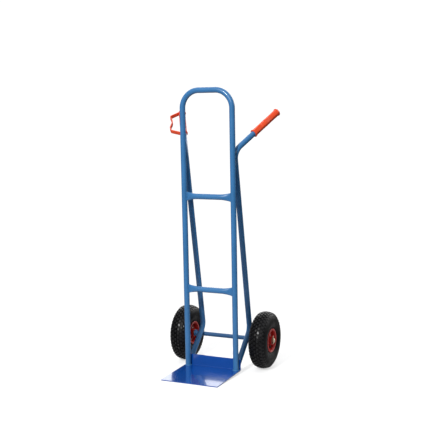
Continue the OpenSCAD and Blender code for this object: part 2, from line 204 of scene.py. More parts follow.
def powder_coat(name, light, dark, rough, peel, coat):
    """Blue powder coat: slight tone drift, orange peel and a clear glossy skin."""
    shade = Shade(name, Coat_Weight=coat, Coat_Roughness=0.06, IOR=1.5, Specular_IOR_Level=0.35)
    drift = shade.noise(9, 4)
    shade.colour(shade.ramp(drift, [(0.35, dark), (0.65, light)]))
    shade.roughness(shade.span(shade.noise(60, 3), rough * 0.85, rough * 1.2))
    skin = shade.bump(shade.noise(700, 2), peel, 0.2 * MM)
    shade.normal(shade.bump(shade.noise(35, 2), peel * 0.4, 0.6 * MM, skin))
    return shade.material


def moulded_plastic(name, light, dark, rough, grain):
    """Moulded plastic: faint flow marks in tone, and a fine eroded grain."""
    shade = Shade(name, IOR=1.49, Specular_IOR_Level=0.35)
    flow = shade.noise(28, 3, 0.6)
    shade.colour(shade.ramp(flow, [(0.3, dark), (0.7, light)]))
    shade.roughness(shade.span(shade.noise(220, 3), rough * 0.8, rough * 1.25))
    fine = shade.bump(shade.noise(1400, 2), grain, 0.12 * MM)
    shade.normal(shade.bump(shade.noise(90, 2), grain * 0.5, 0.4 * MM, fine))
    return shade.material


def tyre_rubber(name, gloss, rough, grain):
    """Black rubber with a dusty bloom in patches and a mould texture, coarser and glossier on the tread."""
    shade = Shade(name, IOR=1.5, Specular_IOR_Level=gloss)
    bloom = shade.noise(22, 6, 0.65)
    black = (0.003, 0.003, 0.0035)
    dust = (0.008, 0.008, 0.009)
    shade.colour(shade.ramp(bloom, [(0.42, black), (0.72, dust)]))
    shade.roughness(shade.span(shade.noise(70, 4), rough * 0.75, rough * 1.25))
    fine = shade.bump(shade.noise(900, 3), 0.35, 0.25 * MM)
    shade.normal(shade.bump(shade.noise(140, 3), grain, 0.5 * MM, fine))
    return shade.material


def bright_steel(name, light, dark, rough, stretch):
    """Plated or ground steel, and the washers' steel darkened as painted shade: fine streaks in roughness
    and tone.
    """
    shade = Shade(name, Metallic=1.0)
    streak = shade.noise(160, 4, 0.6, stretch)
    shade.colour(shade.ramp(streak, [(0.3, dark), (0.7, light)]))
    shade.roughness(shade.span(streak, rough * 0.7, rough * 1.4))
    shade.normal(shade.bump(shade.noise(420, 3, 0.6, stretch), 0.15, 0.1 * MM))
    return shade.material


def plain_rubber(name, base, rough):
    """Soft rubber or nylon of a hidden or small piece, mottled and slightly uneven."""
    shade = Shade(name, IOR=1.5)
    mottle = shade.noise(80, 4)
    shade.colour(shade.ramp(mottle, [(0.3, tuple(c * 0.7 for c in base)), (0.7, base)]))
    shade.roughness(shade.span(shade.noise(150, 3), rough * 0.85, rough * 1.15))
    shade.normal(shade.bump(shade.noise(600, 2), 0.2, 0.2 * MM))
    return shade.material


FRAME_PAINT = powder_coat("frame_blue", (0.034, 0.146, 0.335), (0.028, 0.128, 0.298), 0.34, 0.10, 0.25)
# The axle's blue is the frame's blue darkened: painted shade for the axle bar and collars, which lie in
# shade between the legs and wheels.
SHADED_AXLE_PAINT = powder_coat("axle_blue_painted_shade", (0.018, 0.078, 0.190), (0.015, 0.066, 0.162), 0.38, 0.12, 0.15)
PLATE_PAINT = powder_coat("plate_blue", (0.003, 0.058, 0.290), (0.002, 0.050, 0.255), 0.22, 0.05, 1.0)
GRIP_PLASTIC = moulded_plastic("grip_red", (0.68, 0.072, 0.018), (0.60, 0.052, 0.014), 0.40, 0.08)
RIM_PLASTIC = moulded_plastic("rim_red", (0.46, 0.022, 0.016), (0.38, 0.015, 0.012), 0.30, 0.06)
TYRE_RUBBER = tyre_rubber("tyre_black", 0.10, 0.48, 0.25)
TREAD_RUBBER = tyre_rubber("tread_black", 0.28, 0.34, 0.7)
# The washers' steel is dark brown-grey: painted shade for the shade round the hubs.
SHADED_WASHER_STEEL = bright_steel("washer_steel_painted_shade", (0.20, 0.17, 0.13), (0.10, 0.085, 0.065), 0.40, (1, 1, 1))
ZINC_STEEL = bright_steel("zinc_steel", (0.80, 0.69, 0.50), (0.62, 0.53, 0.38), 0.32, (1, 1, 1))
GROUND_STEEL = bright_steel("ground_steel", (0.70, 0.70, 0.72), (0.52, 0.52, 0.54), 0.30, (1, 6, 6))
TUBE_RUBBER = plain_rubber("tube_rubber", (0.030, 0.030, 0.032), 0.55)
CAP_PLASTIC = plain_rubber("cap_black", (0.022, 0.022, 0.023), 0.40)
NYLON = plain_rubber("cage_nylon", (0.78, 0.74, 0.62), 0.50)


# ---------------------------------------------------------------- mesh helpers
def add_piece(name, mesh, material, body, node=None, sharp=35):
    """Makes a named piece that rides on a body, and stands for a CAD node if one is given."""
    mesh.materials.append(material)
    piece = bpy.data.objects.new(name, mesh)
    bpy.context.scene.collection.objects.link(piece)
    bm = bmesh.new()
    bm.from_mesh(mesh)
    bmesh.ops.remove_doubles(bm, verts=bm.verts, dist=1e-6)
    bmesh.ops.recalc_face_normals(bm, faces=bm.faces)
    limit = math.radians(sharp)
    for face in bm.faces:
        face.smooth = True
    for edge in bm.edges:
        if len(edge.link_faces) == 2 and edge.calc_face_angle(0) > limit:
            edge.smooth = False
    bm.to_mesh(mesh)
    bm.free()
    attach(piece, body)
    if node:
        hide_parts(node)
    return piece


def join(parts):
    """One mesh from several (points, faces) pairs."""
    points, faces = [], []
    for part_points, part_faces in parts:
        base = len(points)
        points += [tuple(p) for p in part_points]
        faces += [tuple(i + base for i in face) for face in part_faces]
    mesh = bpy.data.meshes.new("piece")
    mesh.from_pydata(points, [], faces)
    return mesh


def moved(part, matrix):
    points, faces = part
    if matrix.determinant() < 0:
        faces = [tuple(reversed(face)) for face in faces]
    return [matrix @ Vector(p) for p in points], faces


def skin(rings, closed=False):
    """Faces over rings of points of one length, capped at both ends unless the rings close up."""
    count = len(rings[0])
    points = [p for ring in rings for p in ring]
    faces = []
    spans = len(rings) if closed else len(rings) - 1
    for i in range(spans):
        a, b = i * count, (i + 1) % len(rings) * count
        for j in range(count):
            k = (j + 1) % count
            faces.append((a + j, a + k, b + k, b + j))
    if not closed:
        faces.append(tuple(reversed(range(count))))
        faces.append(tuple(range(len(points) - count, len(points))))
    return points, faces


def lathe(profile, segments=96):
    """Solid of revolution about Z from a closed outline of (radius, z) points."""
    rings = []
    for i in range(segments):
        turn = 2 * math.pi * i / segments
        rings.append([Vector((r * math.cos(turn), r * math.sin(turn), z)) for r, z in profile])
    return skin(rings, closed=True)


def rounded_outline(corners, radius, steps=4):
    """Closed 2D outline with each corner rounded by the radius, or by its own third number."""
    outline = []
    count = len(corners)
    for i, corner in enumerate(corners):
        q = Vector(corner[:2])
        before = Vector(corners[i - 1][:2])
        after = Vector(corners[(i + 1) % count][:2])
        r = corner[2] if len(corner) > 2 else radius
        outline += fillet(before, q, after, r, steps)
    return outline


def fillet(before, q, after, r, steps):
    """Points of the arc that rounds corner q, or q itself where there is no room or no turn."""
    a, b = (q - before).normalized(), (after - q).normalized()
    turn = a.angle(b)
    if r <= 0 or turn < 0.01:
        return [q]
    t = min(r * math.tan(turn / 2), 0.49 * (q - before).length, 0.49 * (after - q).length)
    r = t / math.tan(turn / 2)
    side = 1 if a.x * b.y - a.y * b.x > 0 else -1
    start = q - a * t
    centre = start + Vector((-a.y, a.x)) * side * r
    arm = start - centre
    arc = []
    for i in range(steps + 1):
        angle = side * turn * i / steps
        arc.append(centre + Vector((
            arm.x * math.cos(angle) - arm.y * math.sin(angle),
            arm.x * math.sin(angle) + arm.y * math.cos(angle))))
    return arc


def bent_line(corners, radii, steps=14):
    """Centre line through 3D corners, with an arc at each corner that has a radius."""
    line = [Vector(corners[0])]
    for i in range(1, len(corners) - 1):
        q = Vector(corners[i])
        a = (q - Vector(corners[i - 1])).normalized()
        b = (Vector(corners[i + 1]) - q).normalized()
        turn = a.angle(b)
        start = q - a * radii[i] * math.tan(turn / 2)
        inward = (b - a * a.dot(b)).normalized()
        for k in range(steps + 1):
            angle = turn * k / steps
            line.append(start + a * radii[i] * math.sin(angle) + inward * radii[i] * (1 - math.cos(angle)))
    line.append(Vector(corners[-1]))
    return line


def carried_frames(line, closed=False):
    """Tangent and two cross directions at each point, carried along without twist."""
    count = len(line)
    frames = []
    cross = None
    for i in range(count):
        before = line[i - 1] if i > 0 or closed else line[i]
        after = line[(i + 1) % count] if i < count - 1 or closed else line[i]
        tangent = (after - before).normalized()
        if cross is None:
            start = Vector((1, 0, 0)) if abs(tangent.x) < 0.9 else Vector((0, 1, 0))
            cross = tangent.cross(start).normalized()
        cross = (cross - tangent * cross.dot(tangent)).normalized()
        frames.append((tangent, cross, tangent.cross(cross)))
    return frames


def tube_along(line, radius, sides=40, closed=False):
    """Round bar along a line; radius is a number or a function of the point's number."""
    rings = []
    for i, (point, (_, u, v)) in enumerate(zip(line, carried_frames(line, closed))):
        r = radius(i) if callable(radius) else radius
        rings.append([
            point + u * r * math.cos(2 * math.pi * k / sides) + v * r * math.sin(2 * math.pi * k / sides)
            for k in range(sides)])
    return skin(rings, closed)


def even_points(line, gap, closed=False):
    """The same line with its points spread a steady gap apart."""
    path = line + [line[0]] if closed else line
    lengths = [(b - a).length for a, b in zip(path, path[1:])]
    total = sum(lengths)
    count = max(3, round(total / gap))
    points, walked, i = [], 0.0, 0
    for k in range(count + (0 if closed else 1)):
        goal = total * k / count
        while i < len(lengths) - 1 and walked + lengths[i] < goal:
            walked += lengths[i]
            i += 1
        share = 0 if lengths[i] == 0 else min(1, (goal - walked) / lengths[i])
        points.append(path[i].lerp(path[i + 1], share))
    return points


def weld_bead(line, radius, closed=False):
    """A weld bead: a round fillet with the scalloped ripples that each weld pool leaves."""
    ripple = 2.4 * MM
    step = ripple / 6
    points = even_points(line, step, closed)
    count = len(points)

    def pool(i):
        end = 1.0 if closed else min(1.0, 0.35 + min(i, count - 1 - i) / 8)
        return radius * end * (0.90 + 0.12 * abs(math.sin(math.pi * i * step / ripple)))

    return tube_along(points, pool, sides=12, closed=closed)


def bevelled(piece, width, segments=2, angle=40):
    """Rounds the sharp edges of a piece with a bevel modifier."""
    bevel = piece.modifiers.new("rounded_edges", "BEVEL")
    bevel.width = width
    bevel.segments = segments
    bevel.limit_method = "ANGLE"
    bevel.angle_limit = math.radians(angle)
    bevel.harden_normals = False
    return piece


# ---------------------------------------------------------------- frame tubes
def hoop_line():
    return [
        Vector((-UPRIGHT_X, 0, PLATE_T)), Vector((-UPRIGHT_X, 0, HOOP_Z)),
        Vector((UPRIGHT_X, 0, HOOP_Z)), Vector((UPRIGHT_X, 0, PLATE_T))]


def main_hoop():
    line = bent_line(hoop_line(), [0, HOOP_BEND_R, HOOP_BEND_R, 0], steps=24)
    mesh = join([moved(tube_along(line, TUBE_R, sides=56), to_row)])
    add_piece("hoop_tube", mesh, FRAME_PAINT, "frame", "main_hoop")


handle_dir = Vector((
    math.sin(HANDLE_SPLAY) * math.cos(HANDLE_RISE),
    math.cos(HANDLE_SPLAY) * math.cos(HANDLE_RISE),
    math.sin(HANDLE_RISE)))
brace_dir = Vector((0, -math.sin(BRACE_ANGLE), math.cos(BRACE_ANGLE)))


def side_corners():
    """Corners of the right side tube: foot, elbow, handle corner and the grip's end."""
    bend_out = (handle_dir - brace_dir * handle_dir.dot(brace_dir)).normalized()
    dip = HANDLE_BEND_R * (math.hypot(brace_dir.y, bend_out.y) - bend_out.y)
    tangent = HANDLE_BEND_R * math.tan(brace_dir.angle(handle_dir) / 2)
    corner = Vector((UPRIGHT_X, TUBE_CONTACT + dip + tangent * brace_dir.y, HANDLE_Z))
    elbow_y = corner.y + (HANDLE_Z - ELBOW_Z) * math.tan(BRACE_ANGLE)
    elbow = Vector((UPRIGHT_X, elbow_y, ELBOW_Z))
    foot = Vector((UPRIGHT_X, FLANGE_REAR_Y, FOOT_Z))
    return foot, elbow, corner, corner + handle_dir * HANDLE_LEN


foot, elbow, handle_corner, grip_end = side_corners()
leg_dir = (foot - elbow).normalized()
leg_under = Vector((0, -leg_dir.z, leg_dir.y))


def side_matrix(side):
    """From the right half of the truck's own frame to the row frame, mirrored for the left side."""
    return to_row @ Matrix.Scale(-1, 4, Vector((1, 0, 0))) if side == "left" else to_row


def side_tube(side):
    line = bent_line(
        [foot, elbow, handle_corner, grip_end - handle_dir * 5 * MM],
        [0, ELBOW_BEND_R, HANDLE_BEND_R, 0], steps=22)
    points, faces = tube_along(line, TUBE_R, sides=56)
    cut = []
    for p in points:
        # the leg's end lies flush on the flange: slide its first ring along the leg to that plane
        if (p - foot).length < 1.01 * TUBE_R and abs((p - foot).dot(leg_dir)) < 0.1 * MM:
            p = p + leg_dir * ((foot.y - p.y) / leg_dir.y)
        cut.append(p)
    mesh = join([moved((cut, faces), side_matrix(side))])
    name = f"side_tube_{side}"
    add_piece(f"{name}_skin", mesh, FRAME_PAINT, "frame", name)


def crossbar_ring(flatness, sides=48):
    """Cross-section of a crossbar, from round (0) to fully flattened (1)."""
    ring = []
    half_straight = (CROSSBAR_FLAT_H - CROSSBAR_FLAT_T) / 2
    for k in range(sides):
        turn = 2 * math.pi * k / sides
        c, s = math.cos(turn), math.sin(turn)
        round_y, round_z = CROSSBAR_R * c, CROSSBAR_R * s
        flat_z = half_straight * s + CROSSBAR_FLAT_T / 2 * s
        flat_y = CROSSBAR_FLAT_T / 2 * math.copysign(min(1, abs(c) * 2.6) ** 0.8, c)
        ring.append((
            round_y + (flat_y - round_y) * flatness,
            round_z + (flat_z - round_z) * flatness))
    return ring


def crossbar(name):
    low, high = own_box(name)
    z = (low.z + high.z) / 2 - own_origin.z
    end_x = UPRIGHT_X - TUBE_R * 0.6
    flat_x = UPRIGHT_X - TUBE_R - CROSSBAR_FLAT_LEN
    flare_x = flat_x - CROSSBAR_FLARE
    stations = [-end_x, -flat_x]
    steps = 16
    stations += [-flat_x + CROSSBAR_FLARE * k / steps for k in range(1, steps + 1)]
    stations += [flare_x * k / 4 for k in range(-3, 4)]
    stations += [flare_x + CROSSBAR_FLARE * k / steps for k in range(steps + 1)]
    stations += [end_x]
    rings = []
    for x in stations:
        t = min(1, max(0, (abs(x) - flare_x) / CROSSBAR_FLARE))
        flatness = t ** 1.7
        rings.append([Vector((x, y, z + dz)) for y, dz in crossbar_ring(flatness)])
    mesh = join([moved(skin(rings), to_row)])
    add_piece(f"{name}_tube", mesh, FRAME_PAINT, "frame", name)
    return z


def toe_plate():
    """Sheet with rounded front corners, bent up at its rear into the flange."""
    bend_r = 5 * MM
    half = PLATE_T / 2
    front = PLATE_FRONT_Y
    rear = FLANGE_REAR_Y - half
    flat_len = rear - front - (bend_r - half)
    arc_r = bend_r - half
    stations = []
    corner_steps = 10
    for k in range(corner_steps + 1):
        turn = math.pi / 2 * k / corner_steps
        back, inset = 1 - math.cos(turn), 1 - math.sin(turn)
        stations.append((front + PLATE_CORNER_R * back, PLATE_CORNER_R * inset))
    rows = [((y, half), (0, 1), inset) for y, inset in stations]
    rows += [((front + flat_len * k / 6, half), (0, 1), 0) for k in range(2, 7)]
    for k in range(1, 9):
        turn = math.pi / 2 * k / 8
        y = front + flat_len + arc_r * math.sin(turn)
        z = half + arc_r * (1 - math.cos(turn))
        rows.append(((y, z), (-math.sin(turn), math.cos(turn)), 0))
    rows.append(((rear, FLANGE_Z * 0.6), (-1, 0), 0))
    top_r = 4 * MM
    for k in range(5):
        turn = math.pi / 2 * k / 4
        rows.append(((rear, FLANGE_Z - top_r * (1 - math.sin(turn))), (-1, 0), top_r * (1 - math.cos(turn))))
    columns = 12
    rings = []
    for (y, z), (ny, nz), inset in rows:
        reach = PLATE_W / 2 - inset
        upper = [Vector((reach * (2 * i / columns - 1), y + ny * half, z + nz * half))
                 for i in range(columns + 1)]
        lower = [Vector((p.x, y - ny * half, z - nz * half)) for p in reversed(upper)]
        rings.append(upper + lower)
    mesh = join([moved(skin(rings), to_row)])
    piece = add_piece("toe_plate_sheet", mesh, PLATE_PAINT, "frame", "toe_plate")
    bevelled(piece, 0.6 * MM, 2, 50)


def axle():
    """Painted bar in a darker blue, the frame's paint darkened as painted shade, with bright bare ends that
    carry the wheels, each end chamfered.
    """
    collar_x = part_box("axle_collar_right")[1].x
    chamfer = 1.5 * MM
    across = to_row @ Matrix.Translation((0, AXLE.y, AXLE.z)) @ Matrix.Rotation(math.pi / 2, 4, "Y")
    bar = lathe([(0.0, -collar_x), (AXLE_R, -collar_x), (AXLE_R, collar_x), (0.0, collar_x)], 56)
    add_piece("axle_bar", join([moved(bar, across)]), SHADED_AXLE_PAINT, "frame", "axle")
    for side, sign in SIDES.items():
        outline = [
            (0.0, collar_x), (AXLE_R, collar_x), (AXLE_R, AXLE_END_X - chamfer),
            (AXLE_R - chamfer, AXLE_END_X), (2.2 * MM, AXLE_END_X), (0.0, AXLE_END_X - 1.2 * MM)]
        end = moved(lathe(outline, 56), across @ Matrix.Scale(sign, 4, Vector((0, 0, 1))))
        add_piece(f"axle_end_{side}", join([end]), ZINC_STEEL, "frame")


# ---------------------------------------------------------------- weld beads
def circle_line(centre, radius, start, end, steps=40):
    return [
        centre + Vector((math.cos(a), math.sin(a), 0)) * radius
        for a in (start + (end - start) * k / steps for k in range(steps + 1))]


def upright_foot_bead():
    """Bead round an upright's foot on the toe plate, open where the upright backs onto the flange."""
    centre = Vector((UPRIGHT_X, 0, PLATE_T + 0.6 * MM))
    line = circle_line(centre, TUBE_R + 0.5 * MM, math.radians(-215), math.radians(35))
    return weld_bead(line, 2.4 * MM)


def leg_foot_bead():
    """Bead round a leg's slanting end on the rear of the flange."""
    stretch = 1 / abs(leg_dir.y)
    line = []
    for k in range(48):
        turn = 2 * math.pi * k / 48
        x = (TUBE_R + 0.4 * MM) * math.cos(turn)
        z = (TUBE_R * stretch + 0.4 * MM) * math.sin(turn)
        line.append(foot + Vector((x, 0.5 * MM, z)))
    return weld_bead(line, 2.3 * MM, closed=True)


def crossbar_end_bead(z):
    """Bead round a crossbar's flattened end where it meets the upright."""
    line = []
    half_h = CROSSBAR_FLAT_H / 2 - CROSSBAR_FLAT_T / 2
    outline = [(CROSSBAR_FLAT_T / 2, -half_h + 2 * half_h * k / 8) for k in range(9)]
    outline += [(CROSSBAR_FLAT_T / 2 * math.cos(a), half_h + CROSSBAR_FLAT_T / 2 * math.sin(a))
                for a in (math.pi * k / 6 for k in range(1, 6))]
    outline += [(-y, -dz) for y, dz in outline]
    for y, dz in outline:
        x = UPRIGHT_X - math.sqrt(TUBE_R ** 2 - y ** 2)
        line.append(Vector((x - 0.3 * MM, y * 1.15, z + dz)))
    return weld_bead(line, 1.9 * MM, closed=True)


def brace_top_beads():
    """Two beads in the crotches between the upright and the side tube's bend."""
    beads = []
    contact_z = HANDLE_Z - 46 * MM
    for offset in (-7.2, 7.2):
        line = [Vector((UPRIGHT_X + offset * MM, TUBE_CONTACT / 2, contact_z + dz * MM))
                for dz in range(-20, 16, 4)]
        beads.append(weld_bead(line, 2.9 * MM))
    return beads


def axle_bead():
    """Bead round the crossing of the leg and the axle."""
    line = []
    contact = AXLE - leg_under * AXLE_R
    for k in range(48):
        turn = 2 * math.pi * k / 48
        along = 7.4 * MM * math.cos(turn)
        across = 8.4 * MM * math.sin(turn)
        leg_drop = TUBE_R - math.sqrt(TUBE_R ** 2 - across ** 2)
        axle_drop = AXLE_R - math.sqrt(AXLE_R ** 2 - along ** 2)
        middle = (axle_drop - leg_drop) / 2
        point = Vector((UPRIGHT_X, contact.y, contact.z)) + leg_dir * along + leg_under * middle
        line.append(point + Vector((across, 0, 0)))
    return weld_bead(line, 2.3 * MM, closed=True)


def welds(side, crossbar_heights):
    beads = [upright_foot_bead(), leg_foot_bead(), axle_bead()] + brace_top_beads()
    beads += [crossbar_end_bead(z) for z in crossbar_heights]
    matrix = side_matrix(side)
    mesh = join([moved(bead, matrix) for bead in beads])
    add_piece(f"weld_beads_{side}", mesh, FRAME_PAINT, "frame", sharp=60)


# ---------------------------------------------------------------- grips
def guard_line():
    """Centre line of the knuckle guard's strip as (along the grip, away from it) points."""
    low, high = GUARD_T / 2, GRIP_LEN - GUARD_T / 2
    root = GRIP_R - GUARD_T / 2
    side = GUARD_REACH - GUARD_T / 2
    corners = [
        (low, root), (low + GUARD_INSET, side, 9 * MM),
        (GRIP_LEN * 0.30, side + GUARD_WAVE / 2, 30 * MM),
        (GRIP_LEN * 0.56, side - GUARD_WAVE, 60 * MM),
        (high - GUARD_INSET, side, 9 * MM), (high, root)]
    line = [Vector(corners[0])]
    for i in range(1, len(corners) - 1):
        before, q, after = (Vector(corners[k][:2]) for k in (i - 1, i, i + 1))
        line += fillet(before, q, after, corners[i][2], 10)
    return line + [Vector(corners[-1])]


def strip_ring(point, across):
    """Rounded cross-section of the guard's strip at a point of its centre line."""
    w, t = GUARD_W / 2, GUARD_T / 2
    outline = rounded_outline([(-w, -t), (w, -t), (w, t), (-w, t)], 1.8 * MM, 3)
    return [Vector((point.y + across.y * b, a, point.x + across.x * b)) for a, b in outline]


def guard():
    line = guard_line()
    rings = []
    for i, point in enumerate(line):
        way = (line[min(i + 1, len(line) - 1)] - line[max(i - 1, 0)]).normalized()
        rings.append(strip_ring(point, Vector((-way.y, way.x))))
    return skin(rings)


def grip(side):
    """Moulded sleeve with a closed end, end collars, two slight waists and the knuckle guard."""
    inner = TUBE_R + 0.05 * MM
    collar_t = GUARD_T
    corners = [
        (inner, 0, 0.2 * MM), (GRIP_COLLAR_R, 0, 1.4 * MM), (GRIP_COLLAR_R, collar_t, 1.4 * MM),
        (GRIP_R, collar_t, 2.0 * MM), (GRIP_R - 0.5 * MM, GRIP_LEN * 0.3, 40 * MM),
        (GRIP_R, GRIP_LEN * 0.5, 60 * MM), (GRIP_R - 0.5 * MM, GRIP_LEN * 0.7, 40 * MM),
        (GRIP_R, GRIP_LEN - collar_t, 2.0 * MM),
        (GRIP_COLLAR_R, GRIP_LEN - collar_t, 1.4 * MM), (GRIP_COLLAR_R, GRIP_LEN, 2.2 * MM),
        (0.0, GRIP_LEN, 0), (0.0, GRIP_LEN - 3 * MM, 0),
        (inner, GRIP_LEN - 3 * MM, 0.5 * MM)]
    sleeve = lathe(rounded_outline(corners, 0, 5), 72)
    place = (
        Matrix.Translation(grip_end - handle_dir * GRIP_LEN)
        @ Matrix.Rotation(-HANDLE_SPLAY, 4, "Z") @ Matrix.Rotation(HANDLE_RISE - math.pi / 2, 4, "X")
        @ Matrix.Rotation(-GUARD_TURN[side], 4, "Z"))
    matrix = side_matrix(side) @ place
    mesh = join([moved(sleeve, matrix), moved(guard(), matrix)])
    name = f"grip_{side}"
    add_piece(f"{name}_moulding", mesh, GRIP_PLASTIC, "frame", name, sharp=40)


# ---------------------------------------------------------------- wheels
def wheel_matrix(side):
    """Wheel frame: origin at the wheel's middle, +Z outward along the axle."""
    sign = SIDES[side]
    turn = Matrix.Rotation(math.pi / 2, 4, "Y")
    place = Matrix.Translation((WHEEL.x, WHEEL.y, WHEEL.z)) @ turn
    return Matrix.Scale(-1, 4, Vector((1, 0, 0))) @ place if sign < 0 else place


def about_axle(side, x):
    """Frame at distance x along the axle, +Z outward, for parts that sit on the axle."""
    return wheel_matrix(side) @ Matrix.Translation((0, 0, x - WHEEL.x))


SECTION_R = TYRE_HALF_W
SECTION_CENTRE = WHEEL_R - SECTION_R
CROWN_R = 59.5 * MM
TYRE_WALL = 5 * MM
TREAD_HALF = 30.6 * MM
TREAD_DEPTH = 5 * MM
TREAD_PITCHES = 42
# Rows of tread blocks: distance from the middle plane, block length and width, stagger as a share of the
# pitch, and skew. The lengths are in millimetres.
TREAD_ROWS = ((0.0, 10.8, 7.8, 0.0, 0.0), (12.2, 10.8, 7.6, 0.5, 1.2), (24.2, 11.4, 8.2, 0.0, 1.8))
# Sidewall grooves: middle and half width, as shares of the way from the shoulder to the bead
SIDE_GROOVES = ((0.80, 0.03), (0.90, 0.02))
GROOVE_DEPTH = 0.4 * MM


def carcass_radius(z):
    """Outer radius of the tyre's round carcass at distance z from its middle plane."""
    return SECTION_CENTRE + math.sqrt(max(0, SECTION_R ** 2 - z ** 2))


def crown_radius(z):
    """Outer radius of the tread blocks at distance z from the tyre's middle plane."""
    crown = WHEEL_R - CROWN_R + math.sqrt(CROWN_R ** 2 - z ** 2)
    return max(crown, carcass_radius(z))


def tyre_body():
    """Carcass: groove floor, shoulder step, two shallow grooves round each sidewall, and beads."""
    outer = []
    tread_steps = 14
    for k in range(tread_steps + 1):
        z = -TREAD_HALF + 2 * TREAD_HALF * k / tread_steps
        outer.append((crown_radius(z) - TREAD_DEPTH, z))
    side_points = []
    steps = 44
    first = math.asin(TREAD_HALF / SECTION_R) + 0.05
    last = math.pi - math.asin((RIM_HALF_W + 0.2 * MM) / SECTION_R)
    for k in range(steps + 1):
        turn = first + (last - first) * k / steps
        r = SECTION_R
        for middle, half in SIDE_GROOVES:
            r -= GROOVE_DEPTH * max(0.0, 1 - abs(k / steps - middle) / half)
        side_points.append((SECTION_CENTRE + r * math.cos(turn), r * math.sin(turn)))
    bead_in = RIM_HALF_W - 8 * MM
    bead = [(RIM_SEAT_R + 0.1 * MM, RIM_HALF_W - 0.2 * MM), (RIM_SEAT_R + 0.1 * MM, bead_in)]
    inner = []
    inner_r = SECTION_R - TYRE_WALL
    inner_steps = 24
    inner_start = math.pi - math.asin(bead_in / inner_r)
    for k in range(inner_steps + 1):
        turn = inner_start * (1 - 2 * k / inner_steps)
        inner.append((SECTION_CENTRE + inner_r * math.cos(turn), inner_r * math.sin(turn)))
    mirror_side = [(r, -z) for r, z in reversed(side_points)]
    mirror_bead = [(r, -z) for r, z in reversed(bead)]
    outline = outer + side_points + bead + inner + mirror_bead + mirror_side
    return lathe(outline, 144)


def tread_block(turn, z, length, width, skew=0.0):
    """One tread block: a chamfered pad that follows the crown, on skirts that reach the groove floor."""
    corners = [(-1, -1), (1, -1), (1, 1), (-1, 1)]
    edge_steps = 6
    rings = []
    for scale, drop in ((1.14, TREAD_DEPTH + 0.4 * MM), (1.03, 0.7 * MM), (0.90, 0.0)):
        ring = []
        for (u0, v0), (u1, v1) in zip(corners, corners[1:] + corners[:1]):
            for k in range(edge_steps):
                ring.append((u0 + (u1 - u0) * k / edge_steps, v0 + (v1 - v0) * k / edge_steps))
        points = []
        for u, v in ring:
            zz = z + v * width / 2 * scale
            zz = max(-TREAD_HALF - 1.2 * MM, min(TREAD_HALF + 1.2 * MM, zz))
            r = crown_radius(zz) - drop
            a = turn + (u * length / 2 * scale + v * skew) / WHEEL_R
            points.append(Vector((r * math.cos(a), r * math.sin(a), zz)))
        rings.append(points)
    return skin(rings)


def tread():
    """Five staggered rows of small blocks, the outer two rows a little longer."""
    blocks = []
    pitch = 2 * math.pi / TREAD_PITCHES
    for z, length, width, stagger, skew in TREAD_ROWS:
        for sign in ((1,) if z == 0 else (-1, 1)):
            for i in range(TREAD_PITCHES):
                blocks.append(tread_block(
                    (i + stagger) * pitch, sign * z * MM, length * MM, width * MM, sign * skew * MM))
    return blocks


def shoulder_lugs():
    """Short radial lugs that run from the tread's edge down the shoulder."""
    lugs = []
    for sign in (-1, 1):
        for i in range(TREAD_PITCHES):
            turn = 2 * math.pi * (i + 0.5) / TREAD_PITCHES
            rings = []
            for k in range(7):
                share = k / 6
                around = math.asin(TREAD_HALF / SECTION_R) - 0.06 + 0.30 * share
                height = 1.9 * MM * math.sin(math.pi * min(1, 1.25 * (1 - share))) ** 0.5 if share < 1 else 0
                half = (4.6 - 1.4 * share) * MM
                base_r = SECTION_R - 0.5 * MM
                ring = []
                for u, lift in ((-1.15, 0), (-0.9, 1), (0.9, 1), (1.15, 0), (1.15, -1), (-1.15, -1)):
                    rr = base_r + (height if lift == 1 else 0 if lift == 0 else -1.0 * MM)
                    r = SECTION_CENTRE + rr * math.cos(around)
                    z = sign * rr * math.sin(around)
                    a = turn + u * half / WHEEL_R
                    ring.append(Vector((r * math.cos(a), r * math.sin(a), z)))
                rings.append(ring)
            lugs.append(skin(rings))
    return lugs


def tyre(side):
    matrix = wheel_matrix(side)
    body = f"{side}_wheel"
    name = f"tyre_{side}"
    carcass = join([moved(tyre_body(), matrix)])
    add_piece(f"{name}_carcass", carcass, TYRE_RUBBER, body, name, sharp=28)
    blocks = join([moved(part, matrix) for part in tread() + shoulder_lugs()])
    add_piece(f"{name}_tread", blocks, TREAD_RUBBER, body, sharp=28)


def arm(inner_r, outer_r, half_inner, half_outer, low, high, draft=0.8 * MM):
    """A tapered moulded arm along +X with drafted sides."""
    rings = []
    for r, half in ((inner_r, half_inner), (outer_r, half_outer)):
        outline = rounded_outline(
            [(-half, low), (half, low), (half - draft, high), (-half + draft, high)], 1.0 * MM, 3)
        rings.append([Vector((r, a, b)) for a, b in outline])
    return skin(rings)


def gusset(turn):
    """Thin rib that braces a spoke against the hub."""
    half = 1.6 * MM
    outline = [
        (HUB_R - 1.0 * MM, SPOKE_T - 1 * MM), (38 * MM, SPOKE_T - 1 * MM), (38 * MM, SPOKE_T + 1.0 * MM),
        (HUB_R + 3 * MM, 28 * MM), (HUB_R - 1.0 * MM, 29 * MM)]
    rings = [[Vector((r, y, z)) for r, z in outline] for y in (-half, half)]
    return moved(skin(rings), Matrix.Rotation(turn, 4, "Z"))


